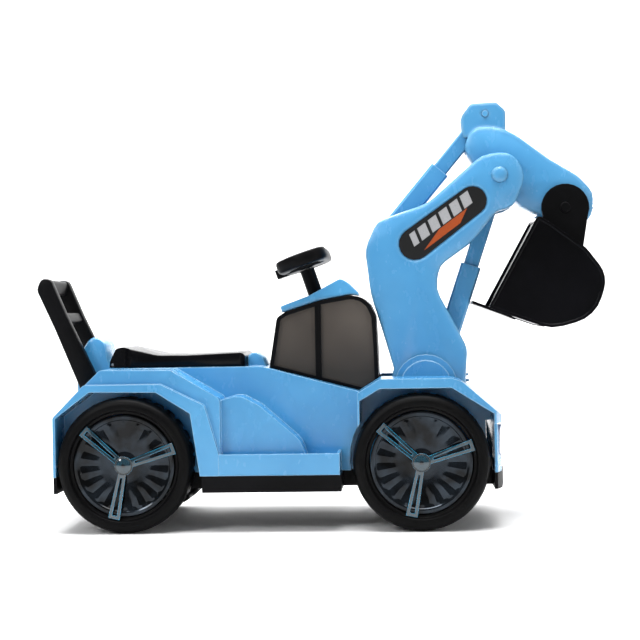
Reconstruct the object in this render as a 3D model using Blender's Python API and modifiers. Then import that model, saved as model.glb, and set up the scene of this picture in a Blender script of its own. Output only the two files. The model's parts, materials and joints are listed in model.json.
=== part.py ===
"""Ride-on toy digger with a front boom.

Lengths are in millimetres and become metres in world().  +X is forward, +Y the rider's left,
+Z up.  The ground is Z = 0 and X = 0 is halfway along the toy.
"""
import math

import bmesh
import bpy
from mathutils import Matrix, Vector

MM = 0.001
GAP = 0.3                      # air between pieces that touch
FORWARD = -0.81                # moves the toy so that its box is centred on X = 0

# Wheels and axles
WHEEL_R = 100.0
WHEEL_FACE = 155.0             # outer face of a tyre from the middle plane
TYRE_WIDTH = 58.0
RIM_R = 74.5
REAR_X = -282.4
FRONT_X = 152.6
AXLE_R = 5.0
AXLE_END = 147.5
KING_Y = 112.0                 # kingpin from the middle plane
ARM = 40.0                     # steering arm of a knuckle
BAR_Z = 119.2                  # underside of the tie bar

# Body
TRAY_LOW, TRAY_TOP = 59.0, 83.0
BODY_LOW = TRAY_TOP + GAP
DECK = 240.0
HOOD = 221.5
SIDE = 148.0                   # half width over the fenders
FENDER_SIDE = 150.0
WALL = 4.0
REAR_WELL = 92.0               # inner walls of the wheel wells
FRONT_WELL = 74.5
SWING_R = 105.5                # room for a steered front wheel
SLOPE_TOP, SLOPE_END = (-84.0, DECK), (65.0, 200.5)
SINK = 1.0                     # the console stands this deep in the deck

# Digging arm: the pivots as (x, z)
BOOM_PIVOT = (162.0, 207.0)
STICK_PIVOT = (278.5, 523.5)
BUCKET_PIVOT = (378.0, 473.0)
EAR_PIN = (260.0, 620.0)
RAM_FOOT = (117.0, 450.0)
BRACE_TOP = (266.0, 480.0)
BRACE_FOOT = (196.0, 272.0)
BOOM_HALF = 50.0
BOOM_WALL = 3.5
STICK_HALF = 26.0
STICK_WALL = 3.0
BUCKET_HALF = 65.0
GEAR_TEETH = 45
BOOM_GEAR_R = 68.0
BUCKET_GEAR_R = 46.0

# Steering column: a point on its axis under the wheel, and its lean
COLUMN_AT = (-7.8, 353.8)
LEAN = math.radians(18.5)
COLUMN_R = 11.5
CRANK = 35.7                   # crank length at the foot of the column

BLUE, BLACK, SMOKE = (0.147, 0.479, 0.791), (0.010, 0.010, 0.011), (0.068, 0.053, 0.041)
STEEL, TEAL, DARK, GREY = (0.6, 0.6, 0.6), (0.027, 0.33, 0.52), (0.013, 0.019, 0.027), (0.3, 0.3, 0.36)

SIDES = (("right", -1.0), ("left", 1.0))
PLACES = {}                    # where each pivot stands


def collection(name):
    made = bpy.data.collections.new(name)
    bpy.context.scene.collection.children.link(made)
    return made


def world(x, y, z):
    """A place on the toy in metres."""
    return Vector((x + FORWARD, y, z)) * MM


def material(name, color, roughness, metallic=0.0):
    made = bpy.data.materials.get(name)
    if made is None:
        made = bpy.data.materials.new(name)
        made.use_nodes = True
        shader = made.node_tree.nodes["Principled BSDF"]
        shader.inputs["Base Color"].default_value = (*color, 1.0)
        shader.inputs["Roughness"].default_value = roughness
        shader.inputs["Metallic"].default_value = metallic
    return made


def look(part, color, roughness, metallic=0.0):
    """Gives a sub-part a material of its own."""
    part.data.materials.clear()
    part.data.materials.append(material(part.name + "_finish", color, roughness, metallic))
    return part


def link(name, mesh):
    part = bpy.data.objects.new(name, mesh)
    PARTS.objects.link(part)
    return part


# ---------------------------------------------------------------- outlines


def arc(centre, radius, start, end, step=15.0):
    """Points round a centre, from one angle to another in degrees."""
    count = max(2, math.ceil(abs(end - start) / step))
    angles = [math.radians(start + (end - start) * k / count) for k in range(count + 1)]
    return [(centre[0] + radius * math.cos(a), centre[1] + radius * math.sin(a)) for a in angles]


def circle(centre, radius, step=15.0):
    return arc(centre, radius, 0.0, 360.0, step)[:-1]


def rounded(corners, step=30.0):
    """The outline through corners (u, v, radius), each corner turned into an arc."""
    points = []
    for k, (u, v, radius) in enumerate(corners):
        here = Vector((u, v))
        if radius <= 0.0:
            points.append((u, v))
            continue
        before = (Vector(corners[k - 1][:2]) - here).normalized()
        after = (Vector(corners[(k + 1) % len(corners)][:2]) - here).normalized()
        half = before.angle(after) / 2.0
        centre = here + (before + after).normalized() * (radius / math.sin(half))
        reach = radius / math.tan(half)
        first = here + before * reach - centre
        last = here + after * reach - centre
        start = math.degrees(math.atan2(first.y, first.x))
        turn = math.degrees(math.atan2(last.y, last.x)) - start
        turn = (turn + 180.0) % 360.0 - 180.0
        points += arc(centre, radius, start, start + turn, step)
    return points


def area(points):
    pairs = zip(points, points[1:] + points[:1])
    return sum(a[0] * b[1] - b[0] * a[1] for a, b in pairs) / 2.0


def inset(points, distance):
    """The outline moved inwards by a distance; a negative one moves it outwards."""
    turn = 1.0 if area(points) > 0.0 else -1.0
    moved = []
    for k, point in enumerate(points):
        here = Vector(point)
        into = (here - Vector(points[k - 1])).normalized()
        out = (Vector(points[(k + 1) % len(points)]) - here).normalized()
        normal_in = Vector((-into.y, into.x)) * turn
        normal_out = Vector((-out.y, out.x)) * turn
        bisector = (normal_in + normal_out).normalized()
        here += bisector * (distance / max(0.3, bisector.dot(normal_in)))
        moved.append(tuple(here))
    return moved


def hull_of_circles(a, radius_a, b, radius_b):
    """The outline of a belt round two circles."""
    along = Vector(b) - Vector(a)
    heading = math.degrees(math.atan2(along.y, along.x))
    tilt = math.degrees(math.acos((radius_a - radius_b) / along.length))
    far = arc(b, radius_b, heading - tilt, heading + tilt, 22.0)
    near = arc(a, radius_a, heading + tilt, heading - tilt + 360.0, 22.0)
    return far + near


def gear_outline(centre, radius, teeth, depth, toothed, base):
    """A toothed sector between two angles; the rest of the rim is plain, at radius base."""
    points = []
    pitch = 360.0 / teeth
    for k in range(teeth):
        angle = toothed[0] + k * pitch
        if angle <= toothed[1]:
            for offset, reach in ((-0.30, radius - depth), (-0.12, radius), (0.12, radius), (0.30, radius - depth)):
                points += arc(centre, reach, angle + offset * pitch, angle + offset * pitch)[:1]
        elif k % 2 == 0:
            points += arc(centre, base, angle, angle)[:1]
    return points


# ---------------------------------------------------------------- solids


FRAMES = {
    "X": Matrix(((0, 0, 1, 0), (1, 0, 0, 0), (0, 1, 0, 0), (0, 0, 0, 1))),
    "Y": Matrix(((1, 0, 0, 0), (0, 0, -1, 0), (0, 1, 0, 0), (0, 0, 0, 1))),
    "Z": Matrix.Identity(4),
}


def slab(name, loops, low, high, axis="Y", bevel=0.0, turn=None):
    """A solid with the given outline, from low to high along an axis.

    Outlines are (x, z) along Y, (x, y) along Z and (y, z) along X; inner loops are holes.
    """
    curve = bpy.data.curves.new(name, "CURVE")
    curve.dimensions = "2D"
    curve.fill_mode = "BOTH"
    curve.extrude = ((high - low) / 2.0 - bevel) * MM
    curve.bevel_depth = bevel * MM
    curve.bevel_resolution = 1
    curve.offset = -bevel * MM
    loops = loops if isinstance(loops[0], list) else [loops]
    for loop in loops:
        spline = curve.splines.new("POLY")
        spline.points.add(len(loop) - 1)
        for point, (u, v) in zip(spline.points, loop):
            point.co = (u * MM, v * MM, 0.0, 1.0)
        spline.use_cyclic_u = True
    middle = {"X": ((high + low) / 2, 0, 0), "Y": (0, (high + low) / 2, 0), "Z": (0, 0, (high + low) / 2)}
    holder = bpy.data.objects.new(name + "_outline", curve)
    PARTS.objects.link(holder)
    holder.matrix_world = (turn or Matrix.Identity(4)) @ Matrix.Translation(world(*middle[axis])) @ FRAMES[axis]
    bpy.context.view_layer.update()
    evaluated = holder.evaluated_get(bpy.context.evaluated_depsgraph_get())
    mesh = bpy.data.meshes.new_from_object(evaluated)
    made = bmesh.new()
    made.from_mesh(mesh)
    bmesh.ops.remove_doubles(made, verts=made.verts, dist=1e-6)
    bmesh.ops.recalc_face_normals(made, faces=made.faces)
    if made.calc_volume(signed=True) < 0.0:
        bmesh.ops.reverse_faces(made, faces=made.faces)
    made.to_mesh(mesh)
    made.free()
    part = link(name, mesh)
    part.matrix_world = holder.matrix_world
    bpy.data.objects.remove(holder)
    return part


def box(name, x, y, z):
    """A box between the pairs of limits x, y and z."""
    made = bmesh.new()
    size = Matrix.Diagonal((*(Vector((x[1] - x[0], y[1] - y[0], z[1] - z[0])) * MM), 1.0))
    centre = world(sum(x) / 2, sum(y) / 2, sum(z) / 2)
    bmesh.ops.create_cube(made, size=1.0, matrix=Matrix.Translation(centre) @ size)
    mesh = bpy.data.meshes.new(name)
    made.to_mesh(mesh)
    made.free()
    return link(name, mesh)


def rod(name, start, end, radius, sides=12, radius_end=None):
    """A round bar between two places."""
    first, last = world(*start), world(*end)
    along = last - first
    made = bmesh.new()
    place = Matrix.Translation((first + last) / 2) @ along.to_track_quat("Z", "X").to_matrix().to_4x4()
    bmesh.ops.create_cone(made, cap_ends=True, segments=sides, radius1=radius * MM,
                          radius2=(radius_end or radius) * MM, depth=along.length, matrix=place)
    mesh = bpy.data.meshes.new(name)
    made.to_mesh(mesh)
    made.free()
    part = link(name, mesh)
    mesh.shade_smooth()
    mesh.set_sharp_from_angle(angle=math.radians(40.0))
    return part


def bar(name, start, end, wide, deep, chamfer=0.0):
    """A straight bar in the middle plane: wide across it in the plane, deep along Y."""
    first, last = Vector(start), Vector(end)
    along = (last - first).normalized()
    across = Vector((-along.y, along.x)) * wide / 2
    corners = [first - across, last - across, last + across, first + across]
    part = slab(name, [tuple(c) for c in corners], -deep / 2, deep / 2)
    if chamfer > 0.0:
        made = bmesh.new()
        made.from_mesh(part.data)
        bmesh.ops.dissolve_limit(made, angle_limit=0.01, verts=made.verts, edges=made.edges)
        axis = Vector((along.x, along.y, 0.0))
        long_edges = [e for e in made.edges if abs((e.verts[1].co - e.verts[0].co).normalized().dot(axis)) > 0.99]
        bmesh.ops.bevel(made, geom=long_edges, offset=chamfer * MM, segments=1, affect="EDGES")
        made.to_mesh(part.data)
        made.free()
    return part


def lathe(name, profile, centre, axis_end, steps=24):
    """A turned solid: profile is (radius, height), height running from centre to axis_end."""
    if area(profile) > 0.0:
        profile = profile[::-1]
    count = len(profile)
    mesh = bpy.data.meshes.new(name)
    mesh.from_pydata([(r * MM, 0.0, h * MM) for r, h in profile], [(k, (k + 1) % count) for k in range(count)], [])
    part = link(name, mesh)
    along = world(*axis_end) - world(*centre)
    part.matrix_world = Matrix.Translation(world(*centre)) @ along.to_track_quat("Z", "X").to_matrix().to_4x4()
    screw = part.modifiers.new("turn", "SCREW")
    screw.angle = math.tau
    screw.steps = screw.render_steps = steps
    screw.use_merge_vertices = True
    screw.merge_threshold = 1e-5
    screw.use_smooth_shade = True
    return part


def tool(part):
    """Turns a part into a cutter or guide that is not itself a piece."""
    for holder in list(part.users_collection):
        holder.objects.unlink(part)
    CUTTERS.objects.link(part)
    part.hide_render = True
    part.display_type = "WIRE"
    return part


def shape(part, operation, *others):
    for other in others:
        step = part.modifiers.new(f"{operation.lower()} {other.name}"[:60], "BOOLEAN")
        step.operation = operation
        step.object = tool(other)
        step.solver = "EXACT"
    return part


def join(part, *others):
    return shape(part, "UNION", *others)


def cut(part, *others):
    return shape(part, "DIFFERENCE", *others)


def keep(part, *others):
    return shape(part, "INTERSECT", *others)


def pivot(name, place, *parts, parent=None):
    """An empty on a joint's axis that carries the pieces which turn or slide there."""
    empty = bpy.data.objects.new(name, None)
    empty.empty_display_size = 0.03
    PARTS.objects.link(empty)
    empty.location = world(*place)
    here = Matrix.Translation(world(*place))
    if parent is not None:
        empty.parent = parent
        empty.matrix_parent_inverse = PLACES[parent.name].inverted()
    PLACES[name] = here
    for part in parts:
        part.parent = empty
        part.matrix_parent_inverse = here.inverted()
    return empty


def on_axis(distance, across=0.0, side=0.0):
    """A place on the leaning column axis, distance up it and across to the front of it."""
    x = COLUMN_AT[0] - distance * math.sin(LEAN) + across * math.cos(LEAN)
    z = COLUMN_AT[1] + distance * math.cos(LEAN) + across * math.sin(LEAN)
    return (x, side, z)


def slope(x):
    """Height of the deck's sloping front stretch."""
    (x0, z0), (x1, z1) = SLOPE_TOP, SLOPE_END
    return z0 + (x - x0) * (z1 - z0) / (x1 - x0)


# ---------------------------------------------------------------- body


def both_sides(name, outline, inner, outer, axis="Y"):
    """The same cutter on the right and on the left of the middle plane."""
    return [slab(f"{name}_{side}", outline, *sorted((sign * inner, sign * outer)), axis)
            for side, sign in SIDES]


def plan(half):
    """A closed plan outline from its left half, given front to back."""
    return half + [(x, -y) for x, y in reversed(half) if y > 0.0]


def body_solid():
    """The closed outer form of the body: quarters, seat tunnel, sills, ramps, hood and nose."""
    flare = [(-388, BODY_LOW, 0), (-388, 171, 5), (-341, 218.5, 5), (-227, 218.5, 6), (-163, 187, 6),
             (-143, 117, 6), (-143, BODY_LOW, 0)]
    upper = [(-387, BODY_LOW + 2, 0), (-387, 172, 4), (-340, 219, 4), (-318, DECK, 5), (-213, 238.5, 6),
             (-143, 197, 4), (-141, 192, 3), (-141, BODY_LOW + 2, 0)]
    body = slab("body_shell", rounded(flare), -SIDE, SIDE)
    join(body, slab("upper_band", rounded(upper), -140, 140))
    tunnel = slab("tunnel", rounded([(-386, BODY_LOW + 1, 0), (-386, 173, 4), (-340, 220, 4), (-318, DECK, 5),
                                     (*SLOPE_TOP, 10), (*SLOPE_END, 0), (110, 190, 0), (110, BODY_LOW + 1, 0)]),
                  -110, 110)
    keep(tunnel, slab("tunnel_plan", plan([(112, 98), (46, 97), (-118, 75), (-387, 75)]), 40, 280, "Z"))
    sill = box("sill", (-165, 34), (-SIDE + 0.5, SIDE - 0.5), (BODY_LOW, 114.5))
    cut(sill, *[box(f"floor_{s}", (-139.5, 30), sorted((k * 60, k * 142)), (108, 130)) for s, k in SIDES])
    ramp = rounded([(-150, 95, 0), (-150, 190, 0), (-122, 198, 6), (-110, 197.5, 6), (-84, 184, 10), (-24, 132, 30),
                    (-16, 107, 0), (-16, 95, 0)])
    hood = slab("hood", rounded([(61, BODY_LOW, 0), (61, 201.5, 3), (94, HOOD, 5), (199, HOOD, 5), (214, 216, 5),
                                 (275, 162, 3), (275, 154.5, 2), (256, 154.5, 0), (256, BODY_LOW, 0)]),
                -FENDER_SIDE, FENDER_SIDE)
    keep(hood, slab("hood_plan", plan([(275, 60), (271, 118), (262, 141), (240, FENDER_SIDE), (60, FENDER_SIDE)]),
                    40, 280, "Z"))
    nose = slab("nose", rounded([(240, BODY_LOW, 0), (240, 170, 0), (262, 166, 0), (267, 130, 40), (273, 92, 10),
                                 (273, BODY_LOW, 0)]), -136, 136)
    keep(nose, slab("nose_plan", plan([(274, 60), (270, 112), (263, 135), (240, 135.5)]), 40, 280, "Z"))
    hump = slab("hump", rounded([(-377, 150, 0), (-377, 226, 10), (-368, 268, 14), (-351, 294, 14), (-331, 278, 12),
                                 (-327.5, 252, 6), (-323, 239, 0), (-323, 150, 0)]), -36, 36, bevel=6)
    boss = slab("boss", rounded([(-109.5, 230, 0), (-109.2, 256, 6), (-98, 263, 8), (-85, 252, 10), (-78.5, 234, 0),
                                 (-78.5, 220, 0)]), -44, 44, bevel=4)
    return join(body, tunnel, sill, *both_sides("ramp", ramp, 60, 126), hood, nose, hump, boss)


def wheel_wells():
    rear = [(-384, 50), (-384, 170), (-333, 208), (-234, 206.5), (-184, 175), (-166, 50)]
    front = [(64, 50), (64, 190), (94, 207.5), (198, 207.5), (259, 169), (259, 50)]
    swing = circle((FRONT_X, WHEEL_R), SWING_R, 10)
    over = [(-332, 212.5), (-317, 234), (-215, 233), (-185, 214), (-232, 211)]
    return (both_sides("rear_well", rear, REAR_WELL, 170)
            + both_sides("over_well", over, 80, 135)
            + both_sides("front_well", front, FRONT_WELL, 170)
            + both_sides("swing", swing, FRONT_WELL, 170.5))


def body_hollows():
    """The space inside the body, the storage bin and the slots that the linkages pass through."""
    under_deck = [(-117, 50), (-117, 233.5), (-86, 233.5), (36, slope(36) - 5), (36, 50)]
    hollows = [
        slab("boom_slot", arc(BOOM_PIVOT, 71.6, 185, 355, 14) + [(233.6, 290), (91, 290)], -52.7, 52.7),
        box("quarters", (-383, -146), (-88.3, 88.3), (50, 158)),
        *both_sides("beside_bin", [(-330, 49.2), (-330, 218), (-316, 233), (-215, 233), (-150, 194), (-150, 49.2)],
                    58, 88.2),
        box("behind_bin", (-350, -309), (-70, 70), (49.3, 205)),
        box("ramp_space_right", (-137, -92), (-122, -60), (49.4, 178)),
        box("ramp_space_left", (-137, -92), (60, 122), (49.4, 178)),
        slab("nose_space", [(250, 47.5), (250, 155), (258, 155), (268, 92), (268, 47.5)], -78, 78),
        box("hood_front", (241, 256), (-66.4, 66.4), (47.7, 165)),
        keep(slab("tunnel_space", under_deck, -100, 100),
             slab("tunnel_inside", plan([(60, 93), (46, 92.8), (-118, 70.8)]), 20, 260, "Z")),
        slab("hump_space", [(-373, 140), (-373, 226), (-363, 262), (-350, 278), (-337, 268), (-331, 248), (-331, 140)],
             -31, 31),
        box("sill_space", (-139, 30.2), (-144, 144), (50, 104)),
        box("joining_space", (-150, -110), (-71, 71), (49, 157)),
        box("hood_space", (30, 112), (-66, 66), (49.5, 150)),
        box("front_space", (100, 258), (-66.2, 66.2), (48, 130)),
        slab("bin", rounded([(-305, -54, 10), (-125, -54, 10), (-125, 54, 10), (-305, 54, 10)]), 162, 260, "Z"),
        slab("console_seat", [(-75.5, slope(-75.5) - SINK), (92.5, slope(92.5) - SINK),
                              (92.5, 300), (-75.5, 300)], -63, 63),
        box("cover_seat", (114 - GAP, 210 + GAP), (-69, 69), (160, 300)),
        box("axle_slot", (REAR_X - 6, REAR_X + 6), (-100, 100), (47, 106)),
        box("beam_slot", (FRONT_X - 13, FRONT_X + 13), (-80, 80), (46, 127)),
        box("bar_slot", (FRONT_X + ARM - 8, FRONT_X + ARM + 8), (-81, 81), (45, 126.5)),
        box("column_hole", (20, 75), (-11, 11), (140, 240)),
    ]
    return hollows


def make_body():
    body = cut(body_solid(), *wheel_wells(), *body_hollows())
    for side, sign in SIDES:
        cut(body, headlight_form(f"lamp_pocket_{side}", sign, GAP))
    cut(body, *[stile_form(f"stile_pocket_{side}", sign, 0.4) for side, sign in SIDES])
    lugs = [box(f"lug_{side}", (-322.5, -312.5), sorted((sign * LUG, sign * (LUG + 5))), (230, 250))
            for side, sign in SIDES]
    join(body, *lugs)
    cut(body, rod("lug_bore", (*SEAT_PIN[:1], -70, SEAT_PIN[1]), (*SEAT_PIN[:1], 70, SEAT_PIN[1]), 2.4, 12))
    return look(body, BLUE, 0.28)


def make_tray():
    outline = plan([(276, 55), (271, 112), (263, 134), (258.5, 134), (258.5, FRONT_WELL), (36, FRONT_WELL), (36, SIDE),
                    (-168, SIDE), (-168, REAR_WELL), (-383, REAR_WELL), (-383, 146), (-388, 146)])
    tray = slab("chassis_tray", outline, TRAY_LOW, TRAY_TOP, "Z")
    floor = TRAY_LOW + WALL
    cut(tray, box("tray_rear", (-379, -172), (-88, 88), (floor, 100)),
        box("tray_middle", (-164.5, 32), (-144, 144), (floor, 101)),
        box("tray_join", (-180, -150), (-87.9, 87.9), (floor, 102)),
        box("tray_front", (20, 258), (-70.3, 70.3), (floor, 103)))
    return look(tray, BLACK, 0.45)


def headlight_form(name, sign, grow=0.0):
    """A lens with rounded corners, standing in the front corner of the nose."""
    low, high = 86 - grow, 126 + grow
    face = rounded([(low, 104 - grow, 8), (high, 108 - grow, 8), (high - 4, 152 + grow, 12), (low + 4, 150 + grow, 8)])
    lens = slab(name, [(sign * y, z) for y, z in face], 262.0 if grow else 262.3, 272, "X")
    front = plan([(275, 60), (271 + grow, 112), (264 + grow, 135), (240, 135.6)])
    return keep(lens, slab(name + "_plan", front, 90, 170, "Z"))


def make_headlights():
    return [look(headlight_form(f"headlight_{side}", sign), GREY, 0.2) for side, sign in SIDES]


def make_console():
    outline = rounded([(-74.5, slope(-74.5) - SINK + GAP, 0), (-62, 313.5, 10), (-49, 321.5, 8), (5, 338, 30),
                       (50, 345.3, 16), (67, 342, 18), (80, 330.5, 18), (87.5, 313, 20), (90, 262, 0),
                       (91.5, slope(91.5) - SINK + GAP, 0)])
    frame = slab("console_frame", outline, -62, 62)
    foot = [(x, slope(x) + rise) for x, rise in ((-70.5, -20), (87, -20), (87, 12), (-70.5, 12))]
    cut(frame, slab("console_space", inset(outline, WALL), -57.5, 57.5), slab("console_foot", foot, -57.4, 57.4))
    panes = inset(outline, 6)
    for tag, low, high in (("rear", -200, -4), ("front", 5, 200)):
        opening = slab(f"{tag}_opening", panes, -70, 70)
        cut(frame, keep(opening, box(f"{tag}_limit", (low, high), (-72, 72), (150, 400))))
    cut(frame, rod("column_way", on_axis(-60), on_axis(60), COLUMN_R + 2.5, 20))
    look(frame, BLACK, 0.4)
    pieces = [frame]
    for side, sign in SIDES:
        pane = slab(f"side_window_{side}", inset(outline, WALL + 0.4), *sorted((sign * 53.6, sign * 57.2)))
        pieces.append(look(pane, SMOKE, 0.15))
    return pieces


def make_dash():
    outline = rounded([(-54, 321.2, 0), (-57, 330, 3), (-12, 346, 20), (22, 364, 16), (36, 371.5, 8), (47, 364, 8),
                       (61, 350, 4), (62.5, 344.4, 0), (50, 346.4, 0), (5, 338.6, 30), (-49, 322.2, 0)])
    cover = slab("dash_cover", outline, -58, 58, bevel=1.5)
    cut(cover, rod("dash_bore", on_axis(-60), on_axis(60), COLUMN_R + 1.0, 20))
    return look(cover, BLUE, 0.28)


def stile_form(name, sign, grow=0.0):
    outline = rounded([(-364, 205, 0), (-403, 300, 60), (-431, 362, 12), (-423, 380, 9), (-408, 377, 8),
                       (-385, 322, 60), (-338, 222, 0), (-344, 205, 0)])
    return slab(name, inset(outline, -grow) if grow else outline, *sorted((sign * (46 - grow), sign * (63 + grow))),
                bevel=0.0 if grow else 3)


def make_backrest():
    """A leaning ladder of two stiles, a top rail and a rung."""
    rest = stile_form("backrest", -1.0)
    join(rest, stile_form("stile_left", 1.0))
    rail = rounded([(-427, 357, 5), (-423, 378, 6), (-408, 376, 6), (-411, 352, 5)])
    rung = rounded([(-405, 306, 4), (-410, 321, 5), (-391, 327, 5), (-384, 312, 4)])
    join(rest, slab("rail", rail, -50, 50), slab("rung", rung, -50.5, 50.5))
    return look(rest, BLACK, 0.4)


SEAT_PIN = (-317.5, 245.0)
LUG = 40.0                     # inner face of a seat lug


def make_seat():
    low = DECK + GAP + 0.3
    outline = rounded([(-321.5, low, 0), (-320.5, 251, 3), (-311, 270, 6), (-300, 272, 12), (-245, 259.5, 60),
                       (-200, 259, 60), (-118, 262, 5), (-112, 257, 4), (-110.5, low, 0)])
    lid = slab("seat_lid", outline, -65, 65, bevel=4)
    shape_plan = rounded([(-323, -52.5, 0), (-300, -52.5, 14), (-285, -66, 14), (-110, -66, 16), (-110, 66, 16),
                          (-285, 66, 14), (-300, 52.5, 14), (-323, 52.5, 0)])
    keep(lid, slab("seat_plan", shape_plan, 220, 290, "Z"))
    cut(lid, rod("seat_bore", (SEAT_PIN[0], -60, SEAT_PIN[1]), (SEAT_PIN[0], 60, SEAT_PIN[1]), 2.4, 12),
        box("seat_hollow", (-296, -118), (-56, 56), (200, 252)),
        *[box(f"lug_slot_{side}", (-330, -309.5), sorted((sign * (LUG - GAP), sign * (LUG + 5 + GAP))), (225, 252.7))
          for side, sign in SIDES])
    pin = rod("seat_hinge_pin", (SEAT_PIN[0], -50, SEAT_PIN[1]), (SEAT_PIN[0], 50, SEAT_PIN[1]), 2.0, 12)
    return look(lid, BLACK, 0.22), look(pin, STEEL, 0.3, 1.0)


# ---------------------------------------------------------------- running gear


def make_drive():
    """Battery, gearbox with its motor, and the fixed rear axle."""
    floor = TRAY_LOW + WALL + GAP
    battery = box("battery_pack", (-160, -112), (-35, 35), (floor, floor + 92))
    gearbox = box("drive_gearbox", (REAR_X - 32, REAR_X + 32), (-84, -44), (floor, 134))
    cut(gearbox, rod("gearbox_bore", (REAR_X, -120, WHEEL_R), (REAR_X, -20, WHEEL_R), AXLE_R + GAP, 16))
    motor = rod("drive_motor", (REAR_X + 14, -44 + GAP, 84), (REAR_X + 14, 12, 84), 11, 16)
    axle = rod("rear_axle", (REAR_X, -AXLE_END, WHEEL_R), (REAR_X, AXLE_END, WHEEL_R), AXLE_R, 16)
    return (look(battery, DARK, 0.5), look(gearbox, BLACK, 0.5), look(motor, STEEL, 0.35, 1.0),
            look(axle, STEEL, 0.3, 1.0))


def make_beam():
    """The front cross beam, with a fork at each end that holds a knuckle."""
    beam = box("front_axle_beam", (FRONT_X - 10, FRONT_X + 10), (-99.5, 99.5), (85.5, 114.5))
    for side, sign in SIDES:
        for tag, low in (("upper", 114.4), ("lower", 81.4)):
            join(beam, box(f"lug_{tag}_{side}", (FRONT_X - 11, FRONT_X + 11), sorted((sign * 90, sign * 122)),
                           (low, low + 4.2)))
        cut(beam, rod(f"king_bore_{side}", (FRONT_X, sign * KING_Y, 70), (FRONT_X, sign * KING_Y, 130), 4.4, 16))
    foot = box("beam_foot", (FRONT_X - 9, FRONT_X + 9), (-40, 40), (TRAY_LOW + WALL + GAP, 90))
    return look(join(beam, foot), BLACK, 0.5)


def make_knuckle(side, sign):
    """A sleeve with kingpin ends, a stub axle outwards and a steering arm forwards."""
    knuckle = rod(f"knuckle_{side}", (FRONT_X, sign * KING_Y, 86), (FRONT_X, sign * KING_Y, 114), 8.5, 16)
    join(knuckle, rod(f"king_pin_{side}", (FRONT_X, sign * KING_Y, 79), (FRONT_X, sign * KING_Y, 120), 4.0, 16),
         rod(f"stub_{side}", (FRONT_X, sign * KING_Y, WHEEL_R), (FRONT_X, sign * AXLE_END, WHEEL_R), AXLE_R, 16))
    arm = slab(f"arm_{side}", hull_of_circles((FRONT_X, sign * KING_Y), 7, (FRONT_X + ARM, sign * KING_Y), 7.5),
               107, 113.5, "Z")
    cut(arm, rod(f"arm_bore_{side}", (FRONT_X + ARM, sign * KING_Y, 100),
                 (FRONT_X + ARM, sign * KING_Y, 120), 4.4, 16))
    return look(join(knuckle, arm), STEEL, 0.35, 1.0)


def make_tie_rod():
    """The bar between the steering arms, with a slotted tongue back to the column's crank."""
    top = BAR_Z + 5
    outline = rounded([(FRONT_X + ARM - 5, -119, 4), (FRONT_X + ARM + 5, -119, 4), (FRONT_X + ARM + 5, 119, 4),
                       (FRONT_X + ARM - 5, 119, 4), (FRONT_X + ARM - 5, 8, 6), (96, 8, 4), (96, -8, 4),
                       (FRONT_X + ARM - 5, -8, 6)])
    crank_slot = rounded([(101, -4.6, 3), (116, -4.6, 3), (116, 4.6, 3), (101, 4.6, 3)])
    tie = slab("tie_rod", [outline, crank_slot], BAR_Z, top, "Z")
    for side, sign in SIDES:
        place = (FRONT_X + ARM, sign * KING_Y)
        join(tie, rod(f"tie_pin_{side}", (*place, 106.5), (*place, top - 1), 3.0, 12))
    return look(tie, STEEL, 0.4, 1.0)


def make_wheel(name, x, sign):
    """Tyre, dished disc and the three-armed cover star of one wheel."""
    centre, out = (x, 0, WHEEL_R), (x, sign * 10, WHEEL_R)
    inner, face = WHEEL_FACE - TYRE_WIDTH, WHEEL_FACE
    tyre_profile = [(RIM_R, inner + 2), (RIM_R, face - 8), (80, face - 7), (82.5, face), (88, face), (96, face - 6),
                    (WHEEL_R, face - 16), (WHEEL_R, inner + 12), (95, inner), (79, inner)]
    tyre = lathe(f"tyre_{name}", tyre_profile, centre, out)
    rim = RIM_R - GAP
    disc_profile = [(AXLE_R + GAP, 127), (12, 127), (12, 141.5), (66, 143.5), (71.2, inner + 4), (rim, inner + 4),
                    (rim, 148), (66, 146), (AXLE_R + GAP, 144.5)]
    disc = lathe(f"wheel_disc_{name}", disc_profile, centre, out)
    return (look(tyre, BLACK, 0.55), look(disc, DARK, 0.1), make_star(name, x, sign))


STAR_ANGLES = (18.6, 138.6, 258.6)


def make_star(name, x, sign):
    """A ring and dome at the hub with three double bars out to the rim."""
    hub = [(0.0, 148.8), (14, 148.8), (14, 151), (11.5, 152), (8, 154), (0.0, 154.8)]
    star = lathe(f"wheel_star_{name}", hub, (x, 0, WHEEL_R), (x, sign * 10, WHEEL_R), 12)
    for number, angle in enumerate(STAR_ANGLES):
        heading = math.radians(angle)
        along = Vector((math.cos(heading), math.sin(heading)))
        across = Vector((-along.y, along.x))
        arm = [tuple(Vector((x, WHEEL_R)) + along * r + across * w)
               for r, w in ((6, -5.5), (79, -8.5), (79, 8.5), (6, 5.5))]
        groove = [tuple(Vector((x, WHEEL_R)) + along * r + across * w)
                  for r, w in ((18, -1.6), (74, -3.6), (74, 3.6), (18, 1.6))]
        join(star, slab(f"arm_{name}_{number}", [arm, groove], *sorted((sign * 148.9, sign * 151.6))))
    return look(star, TEAL, 0.08)


def make_steering():
    """The leaning column with its crank, the oval wheel and its two buttons."""
    column = rod("steering_column", on_axis(-22), on_axis(35.5), COLUMN_R, 20)
    reach = (COLUMN_AT[1] - 127.7) / math.cos(LEAN)
    join(column, rod("column_rod", on_axis(-reach - 3), on_axis(-20), 6, 16))
    crank = bar("crank", *[on_axis(-reach, across)[::2] for across in (-5, CRANK + 5)], 6, 11)
    pin = rod("crank_pin", on_axis(-reach - 20, CRANK), on_axis(-reach + 1, CRANK), 4, 12)
    join(column, crank, pin)
    return look(column, BLACK, 0.4)


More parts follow.
